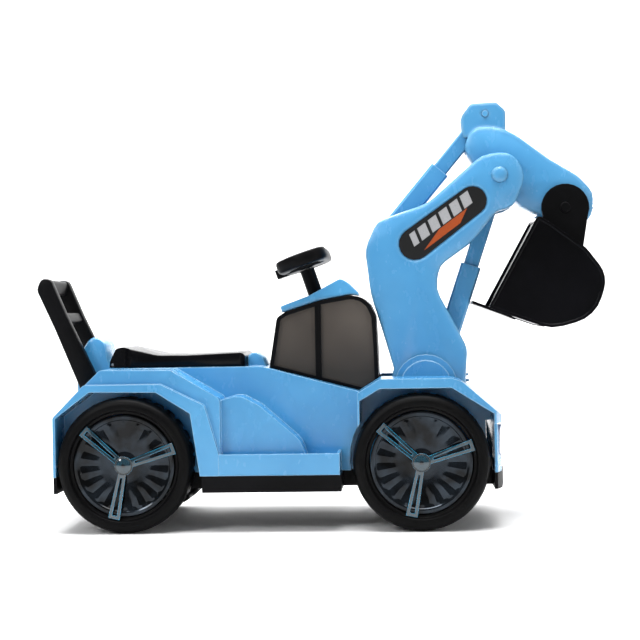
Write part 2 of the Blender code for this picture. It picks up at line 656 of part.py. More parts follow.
def make_handlebar():
    lean = Matrix.Rotation(-LEAN, 4, "Y")
    centre = Vector(on_axis(48))
    place = Matrix.Translation(world(*centre)) @ lean @ Matrix.Translation(-world(0, 0, 0))
    loop = rounded([(-40, -62, 24), (-8, -95, 26), (40, -86, 26), (40, 86, 26), (-8, 95, 26), (-40, 62, 24)], 30)
    rim = slab("handlebar", [loop, inset(loop, 19)], -10, 10, "Z", bevel=5, turn=place)
    pad = slab("hub_pad", rounded([(-32, -26, 8), (32, -30, 8), (32, 30, 8), (-32, 26, 8)]), -11.5, 11.5, "Z",
               bevel=3, turn=place)
    join(rim, pad)
    for side, sign in SIDES:
        join(rim, slab(f"spoke_{side}", [(-12, sign * 20), (14, sign * 20), (14, sign * 80), (-12, sign * 76)],
                       -7, 7, "Z", turn=place))
    nub = slab("nub", rounded([(-47.5, -12, 3), (-28, -12, 0), (-28, 12, 0), (-47.5, 12, 3)]),
               -12.6, 1.5, "Z", turn=place)
    join(rim, nub)
    buttons = []
    for name, across, color in (("horn_button", 10.0, BLUE), ("music_button", -14.0, GREY)):
        pocket = slab(name + "_pocket", circle((across, 0), 7.4, 24), 5, 20, "Z", turn=place)
        cut(rim, pocket)
        button = slab(name, circle((across, 0), 7.0, 24), 7.6, 14.5, "Z", bevel=0.8, turn=place)
        buttons.append(look(button, color, 0.3))
    return look(rim, BLACK, 0.4), buttons


# ---------------------------------------------------------------- digging arm


def boom_outline():
    return rounded([(107, 205, 40), (114, 233, 0), (97, 293, 200), (81, 345, 160), (73, 415, 40), (92, 457, 26),
                    (170, 483, 60), (205, 513, 80), (252, 554, 40), (300, 560, 30), (318, 520, 30), (300, 475, 24),
                    (272, 468, 18), (237, 424, 80), (186, 388, 28), (180, 352, 40), (203, 308, 120), (226, 262, 30),
                    (222, 205, 30), (200, 160, 40), (130, 160, 40)])


def half_shell(name, outline, sign, half, wall, bevel):
    """One moulded half of a hollow arm, open at the middle plane."""
    part = slab(name, outline, -half, half, bevel=bevel)
    cut(part, slab(name + "_space", inset(outline, wall), -half + wall, half - wall),
        box(name + "_other", (-500, 600), sorted((-sign * 200, sign * GAP / 2)), (0, 900)))
    return part


def spread(a, b, wide):
    """A straight outline of a given width from a to b."""
    first, last = Vector(a), Vector(b)
    across = (last - first).normalized().orthogonal() * wide / 2
    return [tuple(first - across), tuple(last - across), tuple(last + across), tuple(first + across)]


def turned_about(points, centre, degrees):
    turn = Matrix.Rotation(math.radians(degrees), 2)
    middle = Vector(centre)
    return [tuple(turn @ (Vector(p) - middle) + middle) for p in points]


TOOTHED = (-76.0, 76.0)        # the toothed part of the boom's wheel, in degrees
BADGE = ((149, 421), 24.0, (237, 485), 21.5)
RAM_TILT = 7.6                 # how far the upper ram leans back meanwhile


def boom_slots(side):
    """Ways through the boom's walls for the stick, both rams and the toothed wheel."""
    foot, ear = Vector(RAM_FOOT), Vector(EAR_PIN)
    ram = spread(foot.lerp(ear, -0.08), ear, 38)
    low, high = Vector(BRACE_FOOT), Vector(BRACE_TOP)
    brace = spread(low.lerp(high, -0.05), low.lerp(high, 1.1), 35)
    stick_way = circle(STICK_PIVOT, 70, 15)
    return [slab(f"stick_way_{side}", stick_way, -27.5, 27.5),
            slab(f"ram_way_{side}", ram, -17.5, 17.5),
            slab(f"ram_way_back_{side}", turned_about(ram, RAM_FOOT, RAM_TILT), -17.4, 17.4),
            slab(f"brace_way_{side}", brace, -18, 18),
            slab(f"gear_way_{side}", circle(BOOM_PIVOT, BOOM_GEAR_R + 1.5, 10), -12, 12)]


def pin_bore(name, place, radius, half=80):
    return rod(name, (place[0], -half, place[1]), (place[0], half, place[1]), radius)


def make_boom(side, sign):
    shell = half_shell(f"boom_shell_{side}", boom_outline(), sign, BOOM_HALF, BOOM_WALL, 5)
    cut(shell, *boom_slots(side))
    recess = hull_of_circles(BADGE[0], BADGE[1] + 1.5, BADGE[2], BADGE[3] + 1.5)
    cut(shell, slab(f"badge_recess_{side}", recess, *sorted((sign * 48.8, sign * 60))),
        pin_bore(f"boom_bore_{side}", BOOM_PIVOT, 8.6), pin_bore(f"stick_bore_{side}", STICK_PIVOT, 7.3))
    badge = slab(f"boom_badge_{side}", hull_of_circles(*BADGE), *sorted((sign * 49.1, sign * 49.9)))
    return look(shell, BLUE, 0.25), look(badge, BLACK, 0.3)


def make_boom_gear():
    gear = slab("boom_gear", gear_outline(BOOM_PIVOT, BOOM_GEAR_R, GEAR_TEETH, 6.0, TOOTHED, 50.0), -10, 10)
    cut(gear, pin_bore("gear_bore", BOOM_PIVOT, 8.6))
    return look(gear, BLUE, 0.35)


def make_covers():
    """The round-topped cheeks that stand out of the hood and hold the boom's shaft."""
    covers = []
    x, z = BOOM_PIVOT
    for side, sign in SIDES:
        outline = arc(BOOM_PIVOT, 47, 0, 180) + [(x - 47, 160.3), (x + 47, 160.3)]
        cover = slab(f"boom_cover_{side}", outline, *sorted((sign * 53, sign * 64)))
        step = arc(BOOM_PIVOT, 38, 0, 180) + [(x - 38, 162), (x + 38, 162)]
        join(cover, slab(f"cover_step_{side}", step, *sorted((sign * 60, sign * 68.5))))
        cut(cover, rod(f"cover_bore_{side}", (x, sign * 40, z), (x, sign * 62.3, z), 8.3, 16))
        covers.append(look(cover, BLUE, 0.28))
    shaft = rod("boom_shaft", (x, -62, z), (x, 62, z), 8.0, 16)
    return covers, look(shaft, STEEL, 0.3, 1.0)


def make_brace():
    """The lower ram, pinned to the boom at both ends."""
    foot, top = Vector(BRACE_FOOT), Vector(BRACE_TOP)
    shoulder = foot.lerp(top, 0.56)
    barrel = bar("lower_ram_barrel", foot, shoulder, 31, 32, 3)
    cut(barrel, bar("lower_barrel_space", foot.lerp(top, 0.15), shoulder + (top - foot) * 0.1, 24, 21))
    rod_start = foot.lerp(top, 0.20)
    ram = bar("lower_ram_rod", rod_start, top + (top - foot).normalized() * 9, 23, 20, 2)
    cut(barrel, pin_bore("lower_foot_bore", foot.lerp(top, 0.05), 4.3))
    cut(ram, pin_bore("lower_top_bore", BRACE_TOP, 4.3))
    foot_pin = pin_bore("lower_ram_foot_pin", foot.lerp(top, 0.05), 4.0, 46)
    top_pin = pin_bore("lower_ram_top_pin", BRACE_TOP, 4.0, 46)
    return (look(barrel, BLUE, 0.3), look(ram, BLUE, 0.3), look(foot_pin, STEEL, 0.3, 1.0),
            look(top_pin, STEEL, 0.3, 1.0))


def make_upper_ram():
    """The ram that works the stick: a barrel on the boom and a rod that slides in it."""
    foot, ear = Vector(RAM_FOOT), Vector(EAR_PIN)
    along = (ear - foot).normalized()
    barrel = bar("upper_ram_barrel", foot - along * 9, foot + along * 113, 31, 31, 3)
    cut(barrel, bar("upper_barrel_space", foot + along * 17, foot + along * 130, 24.2, 21),
        pin_bore("upper_foot_bore", RAM_FOOT, 4.3))
    ram = bar("upper_ram_rod", foot + along * 58, ear + along * 11, 23, 20, 2)
    cut(ram, bar("ear_slot", ear - along * 6.4, ear + along * 6.4, 12.8, 40))
    pin = pin_bore("upper_ram_foot_pin", RAM_FOOT, 4.0, 46)
    return look(barrel, BLUE, 0.3), look(ram, BLUE, 0.3), look(pin, STEEL, 0.3, 1.0)


def stick_outline():
    return rounded([(224, 568, 26), (243, 601, 24), (292, 597, 70), (356, 548, 60), (398, 522, 40), (422, 496, 24),
                    (419, 455, 24), (386, 441, 18), (360, 446, 10), (338, 466, 6), (310, 474, 40), (296, 496, 14),
                    (264, 500, 18), (238, 546, 10)])


def make_stick(side, sign):
    """One half of the stick, with its half of the ear that the upper ram is pinned to."""
    shell = half_shell(f"stick_shell_{side}", stick_outline(), sign, STICK_HALF, STICK_WALL, 4)
    ear = rounded([(226, 585, 0), (223, 616, 10), (238, 636, 8), (277, 637.5, 8), (291, 624, 8), (291, 580, 0)])
    cut(shell, slab(f"rod_way_{side}", [(220, 610), (214, 560), (262, 560), (284, 610)], -11.7, 11.7))
    fin = slab(f"ear_{side}", ear, *sorted((sign * 12, sign * 18)))
    join(shell, fin)
    cut(shell, pin_bore(f"ear_bore_{side}", EAR_PIN, 5.3), pin_bore(f"root_bore_{side}", STICK_PIVOT, 7.4),
        pin_bore(f"end_bore_{side}", BUCKET_PIVOT, 6.4),
        slab(f"bucket_gear_way_{side}", circle(BUCKET_PIVOT, BUCKET_GEAR_R + 1.2, 12), -9, 9))
    return look(shell, BLUE, 0.25)


def make_pins():
    x, z = STICK_PIVOT
    stick_pin = pin_bore("stick_pin", STICK_PIVOT, 7.0, 50.5)
    for side, sign in SIDES:
        join(stick_pin, rod(f"head_{side}", (x, sign * 50.3, z), (x, sign * 53.2, z), 12.8, 20, 11.2),
             rod(f"dome_{side}", (x, sign * 53.1, z), (x, sign * 55.4, z), 11.2, 20, 5.0))
    ear_pin = pin_bore("ear_pin", EAR_PIN, 5.0, 20)
    x, z = BUCKET_PIVOT
    bucket_pin = pin_bore("bucket_pin", BUCKET_PIVOT, 6.0, 33.8)
    for side, sign in SIDES:
        join(bucket_pin, rod(f"cap_{side}", (x, sign * 33.6, z), (x, sign * 35, z), 8, 16, 7))
    return look(stick_pin, BLUE, 0.3), look(ear_pin, STEEL, 0.3, 1.0), look(bucket_pin, BLACK, 0.4)


def bucket_outline():
    return rounded([(334, 458, 4), (352, 447, 0), (403, 409, 52), (434.5, 367, 40), (415.5, 307, 54), (351, 290, 54),
                    (259, 323, 4)], 18.0)


def make_bucket():
    """A D-shaped bucket, open on its flat side, with a digging plate on the lower lip."""
    outline = bucket_outline()
    bucket = slab("bucket", outline, -BUCKET_HALF, BUCKET_HALF, bevel=2)
    middle = inset(outline, 3.0)
    mouth = Vector((-0.83, 0.5)) * 30
    lip_low, lip_high = Vector((262, 322)), Vector((333, 452))
    opening = [tuple(lip_low), tuple(lip_high), tuple(lip_high + mouth), tuple(lip_low + mouth)]
    cut(bucket, slab("bucket_space", middle, -BUCKET_HALF + 3, BUCKET_HALF - 3),
        slab("bucket_mouth", opening, -BUCKET_HALF + 3.1, BUCKET_HALF - 3.1))
    plate = slab("lip_plate", [(233.5, 329), (280, 311), (298, 303.5), (299, 306), (281, 315.5), (235, 333.5)],
                 -56, 56)
    join(bucket, plate)
    rim_loops = [inset(outline, -1.4), inset(outline, 3.2)]
    for side, sign in SIDES:
        faces = sorted((sign * (BUCKET_HALF - 2.4), sign * (BUCKET_HALF + 1.6)))
        join(bucket, slab(f"rim_{side}", rim_loops, *faces))
    return look(bucket, BLACK, 0.35)


def make_bracket():
    """Two cheeks that carry the bucket on its pivot, joined by a web against its back."""
    cheek = arc(BUCKET_PIVOT, 36, -20, 200) + [(342, 448), (352, 425), (384, 405), (402, 400)]
    bracket = slab("bucket_bracket", cheek, -33.3, 33.3, bevel=0)
    cut(bracket, slab("bracket_gap", circle(BUCKET_PIVOT, 48.5), -26.5, 26.5),
        slab("bracket_rest", inset(bucket_outline(), -0.3), -90, 90), pin_bore("bracket_bore", BUCKET_PIVOT, 6.3))
    return look(bracket, BLACK, 0.4)


def make_bucket_gear():
    gear = slab("bucket_gear", gear_outline(BUCKET_PIVOT, BUCKET_GEAR_R, 44, 4.5, (0.0, 200.0), 33.0), -7.5, 7.5)
    cut(gear, pin_bore("bucket_gear_bore", BUCKET_PIVOT, 6.3))
    return look(gear, BLUE, 0.35)


# ---------------------------------------------------------------- the toy


def build():
    make_tray()
    make_body()
    make_headlights()
    make_console()
    make_dash()
    make_backrest()
    lid, hinge_pin = make_seat()
    pivot("seat_hinge", (SEAT_PIN[0], 0, SEAT_PIN[1]), lid)
    make_drive()
    make_beam()
    for side, sign in SIDES:
        pivot(f"rear_{side}_spin", (REAR_X, 0, WHEEL_R), *make_wheel(f"rear_{side}", REAR_X, sign))
        turn = pivot(f"steer_{side}", (FRONT_X, sign * KING_Y, WHEEL_R), make_knuckle(side, sign))
        pivot(f"front_{side}_spin", (FRONT_X, sign * KING_Y, WHEEL_R),
              *make_wheel(f"front_{side}", FRONT_X, sign), parent=turn)
    pivot("tie_slide", (FRONT_X, 0, BAR_Z), make_tie_rod())
    wheel, buttons = make_handlebar()
    steer = pivot("column_turn", on_axis(0), make_steering(), wheel)
    for button in buttons:
        pivot(button.name + "_press", on_axis(50), button, parent=steer)
    make_arm()


def make_arm():
    make_covers()
    boom_parts = [part for side, sign in SIDES for part in make_boom(side, sign)]
    stick_pin, ear_pin, bucket_pin = make_pins()
    barrel, ram, foot_pin = make_upper_ram()
    boom = pivot("boom_lift", (BOOM_PIVOT[0], 0, BOOM_PIVOT[1]), *boom_parts, make_boom_gear(), *make_brace(),
                 stick_pin, foot_pin)
    tilt = pivot("ram_tilt", (RAM_FOOT[0], 0, RAM_FOOT[1]), barrel, parent=boom)
    pivot("ram_slide", (RAM_FOOT[0], 0, RAM_FOOT[1]), ram, parent=tilt)
    stick = pivot("stick_swing", (STICK_PIVOT[0], 0, STICK_PIVOT[1]),
                  *[make_stick(side, sign) for side, sign in SIDES], ear_pin, parent=boom)
    pivot("bucket_curl", (BUCKET_PIVOT[0], 0, BUCKET_PIVOT[1]), make_bucket(), make_bracket(),
          make_bucket_gear(), bucket_pin, parent=stick)


for old in list(bpy.data.objects):
    bpy.data.objects.remove(old)
PARTS = collection("ride_on_digger")
CUTTERS = collection("cutters")
build()
bpy.context.view_layer.update()
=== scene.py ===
import json
import math

import bmesh
import bpy
import numpy as np
from mathutils import Matrix, Vector


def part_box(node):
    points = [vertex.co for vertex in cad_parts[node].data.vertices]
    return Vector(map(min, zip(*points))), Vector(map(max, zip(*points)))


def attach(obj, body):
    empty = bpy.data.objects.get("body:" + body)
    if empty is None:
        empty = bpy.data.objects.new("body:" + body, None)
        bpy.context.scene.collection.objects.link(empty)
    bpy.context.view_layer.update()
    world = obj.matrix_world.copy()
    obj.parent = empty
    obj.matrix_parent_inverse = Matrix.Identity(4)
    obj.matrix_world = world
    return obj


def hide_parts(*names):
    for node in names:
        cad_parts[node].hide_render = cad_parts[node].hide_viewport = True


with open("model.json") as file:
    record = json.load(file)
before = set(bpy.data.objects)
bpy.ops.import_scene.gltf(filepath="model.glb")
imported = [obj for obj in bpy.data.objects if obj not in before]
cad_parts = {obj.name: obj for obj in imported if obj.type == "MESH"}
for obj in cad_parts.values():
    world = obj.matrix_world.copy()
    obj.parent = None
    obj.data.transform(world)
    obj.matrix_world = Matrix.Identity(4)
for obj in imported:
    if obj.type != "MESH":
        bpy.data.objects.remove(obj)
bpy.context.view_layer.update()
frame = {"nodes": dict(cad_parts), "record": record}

MM = 0.001
CORNERS = [f"{end}_{side}" for end in ("rear", "front") for side in ("right", "left")]
BLEND_ANGLE = math.radians(42.0)   # edges blunter than this are shaded as one curve
TYRE_BLEND = math.radians(50.0)
DISC_BLEND = math.radians(12.0)    # the pleats keep crisp ridges
FLAT_ANGLE = math.radians(0.6)     # triangles this close to level are one flat face
MERGE = 2e-6                       # loose triangle corners closer than this are one point

# Wheels, in millimetres
TREAD_BLOCKS = 30                  # blocks round a tyre
TREAD_DEPTH = 3.4
TREAD_LEAN = 0.10                  # half the angle by which a block leans across the tread
TREAD_EDGE = 25.0                  # the grooves start to fade this far from the outer face
TREAD_FADE = 6.0
WEAR_DEPTH = 0.12
PLEATS = 18                        # pleats round a wheel disc
PLEAT_DEPTH = 1.5
DISC_INSET = 4.0                   # the disc starts this far outside the tyre's inner face
HUB_BASE = 151.9                   # the hub cap's foot stands here, from the middle plane
HUB_SHY = 0.1                      # its top stays this far inside the tyre's outer face
HUB_STEPS = 48
POINTS_A_BLOCK = 14
POINTS_A_PLEAT = 16


# ---------------------------------------------------------------- meshes


def place(name, mesh, material, body, *replaced):
    """Puts a finished mesh on a body of the frame in place of its CAD nodes."""
    piece = bpy.data.objects.new(name, mesh)
    bpy.context.scene.collection.objects.link(piece)
    mesh.materials.clear()
    mesh.materials.append(material)
    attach(piece, body)
    if replaced:
        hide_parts(*replaced)
    return piece


def shade(mesh, angle):
    """Smooth shading, broken where two faces meet more sharply than the angle."""
    mesh.polygons.foreach_set("use_smooth", np.ones(len(mesh.polygons), dtype=bool))
    mesh.set_sharp_from_angle(angle=angle)
    mesh.update()


def grid_surface(name, points, close_rows=False, close_columns=False):
    """A mesh over a grid of points (rows, columns, 3), joined end to start where it is closed."""
    rows, columns = points.shape[:2]
    index = np.arange(rows * columns).reshape(rows, columns)
    if close_rows:
        index = np.vstack((index, index[:1]))
    if close_columns:
        index = np.hstack((index, index[:, :1]))
    faces = np.stack((index[:-1, :-1], index[:-1, 1:], index[1:, 1:], index[1:, :-1]), axis=-1).reshape(-1, 4)
    mesh = bpy.data.meshes.new(name)
    mesh.from_pydata(points.reshape(-1, 3).tolist(), [], faces.tolist())
    work = bmesh.new()
    work.from_mesh(mesh)
    bmesh.ops.remove_doubles(work, verts=work.verts, dist=MERGE)
    bmesh.ops.recalc_face_normals(work, faces=work.faces)
    work.to_mesh(mesh)
    work.free()
    return mesh


def merged_copy(node):
    """A copy of a CAD node with its triangles joined, flat faces made whole and curves shaded smooth."""
    mesh = frame["nodes"][node].data.copy()
    mesh.name = node + "_finished"
    work = bmesh.new()
    work.from_mesh(mesh)
    bmesh.ops.remove_doubles(work, verts=work.verts, dist=MERGE)
    bmesh.ops.dissolve_limit(work, angle_limit=FLAT_ANGLE, verts=work.verts, edges=work.edges,
                             delimit={"NORMAL"})
    work.to_mesh(mesh)
    work.free()
    for name in [layer.name for layer in mesh.attributes if layer.name == "custom_normal"]:
        mesh.attributes.remove(mesh.attributes[name])
    shade(mesh, BLEND_ANGLE)
    return mesh


def smoothstep(x, low, high):
    """Nought below the low value, one above the high, and 3t squared less 2t cubed between."""
    t = np.clip((x - low) / (high - low), 0.0, 1.0)
    return t * t * (3.0 - 2.0 * t)


def round_profile(corners, steps=5):
    """A closed outline (u, v, radius) with each corner turned into a short arc of evenly spread points."""
    points = []
    count = len(corners)
    for k in range(count):
        here = np.array(corners[k][:2])
        back = np.array(corners[k - 1][:2]) - here
        ahead = np.array(corners[(k + 1) % count][:2]) - here
        cut = corners[k][2]
        start = here + back / np.linalg.norm(back) * cut
        end = here + ahead / np.linalg.norm(ahead) * cut
        t = np.linspace(0.0, 1.0, steps)[:, None]
        points.append((1 - t) ** 2 * start + 2 * t * (1 - t) * here + t ** 2 * end)
    return np.vstack(points)


def wheel_points(radius, across, angle, centre, sign):
    """Turns radius, distance from the middle plane and angle into places round a wheel's axle."""
    return np.stack((centre[0] + radius * np.cos(angle), sign * across + 0.0 * angle,
                     centre[2] + radius * np.sin(angle)), axis=-1) * MM


def tyre_mesh(corner, centre, sign, inner, face):
    """A closed tyre section carried round the axle.  Radius = section radius minus the tread depth
    where a square wave round the wheel and a ramp across the tread both say groove."""
    section = round_profile([(75.6, inner + 1.5, 1.2), (75.6, face - 8.5, 1.2), (79.8, face - 7.6, 1.4),
                             (82.0, face - 0.4, 1.8), (89.5, face - 0.2, 2.6), (96.6, face - 4.5, 3.0),
                             (99.9, face - 14.0, 4.5), (99.9, face - 24.0, 0.8), (99.9, inner + 10.0, 4.0),
                             (94.0, inner + 0.4, 4.0), (80.0, inner + 0.4, 3.0)], 6)
    turns = np.linspace(0.0, 2.0 * np.pi, TREAD_BLOCKS * POINTS_A_BLOCK, endpoint=False)
    radius, across = section[:, 0][:, None], section[:, 1][:, None]
    angle = turns[None, :]
    lean = TREAD_LEAN * (across - inner) / (face - inner)
    wave = np.mod(angle * TREAD_BLOCKS / (2.0 * np.pi) + lean * TREAD_BLOCKS / np.pi, 1.0)
    groove = smoothstep(wave, 0.56, 0.64) * (1.0 - smoothstep(wave, 0.90, 0.98))
    where = (1.0 - smoothstep(across, face - TREAD_EDGE, face - TREAD_EDGE + TREAD_FADE)) * smoothstep(radius,
                                                                                                94.0, 98.5)
    worn = WEAR_DEPTH * np.sin(7.0 * angle) * np.exp(-((across - face + 20.0) / 25.0) ** 2)
    sunk = radius - TREAD_DEPTH * groove * where - np.abs(worn)
    points = wheel_points(sunk, across, angle + 0.0 * radius, centre, sign)
    return grid_surface(f"tyre_{corner}_finished", points, True, True)


def disc_mesh(corner, centre, sign, low):
    """A closed dished plate turned round the axle, its outer face pleated: height = section height plus
    a triangle wave round the wheel that grows from the hub, dies out at the rim and swells and fades
    slowly round the turn."""
    front = np.array([(5.6, 144.3), (12.0, 144.4), (15.0, 143.2), (20.0, 142.6), (26.0, 142.8), (34.0, 143.3),
                      (42.0, 143.9), (50.0, 144.5), (58.0, 145.1), (63.0, 145.5), (66.5, 146.0), (67.6,
                                                                                                  147.0),
                      (69.5, 147.9), (72.0, 148.0), (73.8, 147.6)])
    front = np.vstack([np.column_stack((np.linspace(a[0], b[0], 5)[:-1], np.linspace(a[1], b[1], 5)[:-1]))
                       for a, b in zip(front[:-1], front[1:])] + [front[-1:]])
    back = np.array([(74.1, 146.8), (74.1, 120.0), (74.1, low + 0.2), (71.4, low + 0.2), (70.9, 120.0),
                     (66.0, 140.6), (40.0, 139.6), (12.5, 138.9), (12.0, 138.0), (12.0, 127.4), (5.6, 127.4)])
    section = np.vstack((front, back))
    turns = np.linspace(0.0, 2.0 * np.pi, PLEATS * POINTS_A_PLEAT, endpoint=False)
    radius, across = section[:, 0][:, None], section[:, 1][:, None]
    angle = turns[None, :] + 0.0 * radius
    phase = np.mod(angle * PLEATS / (2.0 * np.pi), 1.0)
    pleat = 1.0 - 2.0 * np.abs(phase - 0.5) / 0.5
    outer = np.arange(len(section))[:, None] < len(front)
    grow = smoothstep(radius, 34.0, 56.0) * (1.0 - smoothstep(radius, 62.0, 66.5)) * outer
    uneven = 0.65 + 0.35 * np.sin(5.0 * angle + 0.8) * np.sin(3.0 * angle)
    lifted = across + PLEAT_DEPTH * uneven * pleat * grow
    points = wheel_points(radius + 0.0 * angle, lifted, angle, centre, sign)
    return grid_surface(f"wheel_disc_{corner}_finished", points, True, True)


def turned_mesh(name, profile, centre, sign):
    """A profile (radius, distance from the middle plane) turned round an axle, closed at its own ends."""
    turns = np.linspace(0.0, 2.0 * np.pi, HUB_STEPS, endpoint=False)
    radius, across = profile[:, 0][:, None], profile[:, 1][:, None]
    points = wheel_points(radius + 0.0 * turns, across + 0.0 * turns, turns + 0.0 * radius, centre, sign)
    return grid_surface(name, points, True, True)


def hub_profile(base, top):
    """A ball-topped cap standing in a raised ring: quarter circles for the ball, a half circle for
    the ring."""
    ball = np.linspace(0.0, np.pi / 2.0, 10)
    ring = np.linspace(0.0, np.pi, 8)
    ball_r = 7.6
    ring_r = 2.1
    cap = np.column_stack((ball_r * np.sin(ball), top - ball_r * 0.62 * (1.0 - np.cos(ball))))
    lip = np.column_stack((11.3 - ring_r * np.cos(ring), top - 4.4 + ring_r * 0.8 * np.sin(ring)))
    foot = np.array([(13.4, base), (0.0, base)])
    return np.vstack((cap, lip, foot))


# ---------------------------------------------------------------- materials


def linear(code, alpha=1.0):
    """An sRGB hex colour as linear light."""
    parts = [int(code[k:k + 2], 16) / 255.0 for k in (1, 3, 5)]
    return tuple(c / 12.92 if c <= 0.04045 else ((c + 0.055) / 1.055) ** 2.4 for c in parts) + (alpha,)


def add(tree, kind, values=(), links=(), **properties):
    """Adds one node with its properties, socket values and links."""
    made = tree.nodes.new("ShaderNode" + kind)
    for key, value in properties.items():
        setattr(made, key, value)
    for socket, value in dict(values).items():
        made.inputs[socket].default_value = value
    for socket, source in dict(links).items():
        tree.links.new(source, made.inputs[socket])
    return made


def start(name, **shader_values):
    """A material with its shader and the piece's own coordinates."""
    made = bpy.data.materials.new(name)
    made.use_nodes = True
    tree = made.node_tree
    shader = tree.nodes["Principled BSDF"]
    for socket, value in shader_values.items():
        shader.inputs[socket.replace("_", " ")].default_value = value
    coordinates = add(tree, "TexCoord").outputs["Object"]
    return made, tree, shader, coordinates


def per_metre(size_mm):
    """The scale at which a noise pattern's spots are this many millimetres across."""
    return 1000.0 / size_mm


def moulded(name, shades, roughness, grain_mm, grain_depth, edge_mm, worn, wear_and_highlight_share=0.25, scuffs=0.03,
            **shader_values):
    """Injection-moulded plastic.  Colour drifts softly over the piece, rounded edges are shaded smoothly
    round and painted a little lighter, partly as wear and partly as a painted highlight, a fine spark-eroded
    grain breaks up the shine, and long thin scuffs change the roughness."""
    made, tree, shader, place_on = start(name, IOR=1.49, Coat_Roughness=0.06, **shader_values)
    drift = add(tree, "TexNoise", {"Scale": per_metre(95), "Detail": 3.0, "Roughness": 0.55},
                {"Vector": place_on})
    spread = add(tree, "MapRange", {"From Min": 0.36, "From Max": 0.64}, {"Value": drift.outputs["Fac"]})
    base = add(tree, "Mix", {6: linear(shades[0]), 7: linear(shades[1])}, {0: spread.outputs[0]},
               data_type="RGBA")
    rounded = add(tree, "Bevel", {"Radius": edge_mm * MM}, samples=6)
    flat = add(tree, "NewGeometry")
    facing = add(tree, "VectorMath", (), {0: rounded.outputs[0], 1: flat.outputs["Normal"]},
                 operation="DOT_PRODUCT")
    # Rounded edges are mixed toward the lighter edge colour: partly wear, partly a painted highlight
    edge = add(tree, "MapRange", {"From Min": 0.995, "From Max": 0.86, "To Max": wear_and_highlight_share},
               {"Value": facing.outputs["Value"]})
    edge_wear_and_highlight = add(tree, "Mix", {7: linear(worn)}, {0: edge.outputs[0], 6: base.outputs[2]}, data_type="RGBA")
    tree.links.new(edge_wear_and_highlight.outputs[2], shader.inputs["Base Color"])
    stretched = add(tree, "Mapping", {"Rotation": (0.3, 0.9, 0.2), "Scale": (2.6, 1.0, 1.4)},
                    {"Vector": place_on})
    lines = add(tree, "TexNoise", {"Scale": per_metre(34), "Detail": 4.0, "Roughness": 0.55},
                {"Vector": stretched.outputs[0]})
    rough = add(tree, "MapRange", {"From Min": 0.40, "From Max": 0.66, "To Min": roughness * (1.0 - scuffs),
                                   "To Max": roughness * (1.0 + 2.5 * scuffs)},
                {"Value": lines.outputs["Fac"]})
    tree.links.new(rough.outputs[0], shader.inputs["Roughness"])
    grain = add(tree, "TexNoise", {"Scale": per_metre(grain_mm), "Detail": 2.0}, {"Vector": place_on})
    waviness = add(tree, "TexNoise", {"Scale": per_metre(38), "Detail": 1.0}, {"Vector": place_on})
    wave = add(tree, "Bump", {"Strength": 0.2, "Distance": 0.2 * MM},
               {"Height": waviness.outputs["Fac"], "Normal": rounded.outputs[0]})
    bump = add(tree, "Bump", {"Strength": 1.0, "Distance": grain_depth * MM},
               {"Height": grain.outputs["Fac"], "Normal": wave.outputs[0]})
    tree.links.new(bump.outputs[0], shader.inputs["Normal"])
    return made


# The real spark-eroded grain is about 0.2 mm and wouldn't show, so it is drawn 1.0 to 2.0 mm wide.

# Blue ABS, injection moulded and polished: a clean sky blue with a soft wide shine, its rounded edges painted
# pale as a highlight
BLUE_ABS = moulded("blue_abs_polished", ("#438ABA", "#4C93C2"), 0.26, 1.3, 0.004, 2.2, "#B4DCF2", 0.55,
                   Coat_Weight=0.2)
# The same plastic on the arm, whose edges are rounded far more: the shine rolls over them in a broad band,
# and that band is painted paler as a highlight
BLUE_ABS_ROUND = moulded("blue_abs_polished_rounded", ("#438ABA", "#4C93C2"), 0.26, 1.3, 0.004, 8.5,
                         "#8CC4E4",
                         0.40, Coat_Weight=0.3)
# Black polypropylene with a spark-eroded texture: near-black, dull, greyer along its rounded edges, partly
# wear and partly painted highlight
BLACK_PP = moulded("black_polypropylene_textured", ("#060607", "#0B0B0D"), 0.42, 1.1, 0.022, 1.6, "#333336",
                   Specular_IOR_Level=0.08)
# Black ABS, polished: a deep black with narrow highlights, its rounded edges painted a little greyer, partly
# wear and partly painted highlight
BLACK_ABS = moulded("black_abs_polished", ("#030304", "#07070A"), 0.24, 1.6, 0.008, 1.8, "#2C2C30", 0.2,
                    Specular_IOR_Level=0.12)
# Blow-moulded PE tyre: dull black with a slightly greasy look, its rounded edges painted a little greyer,
# partly wear and partly painted highlight
TYRE_PE = moulded("black_polyethylene_blow_moulded", ("#040405", "#090909"), 0.46, 1.0, 0.030, 1.2, "#1E1E20",
                  Specular_IOR_Level=0.08)


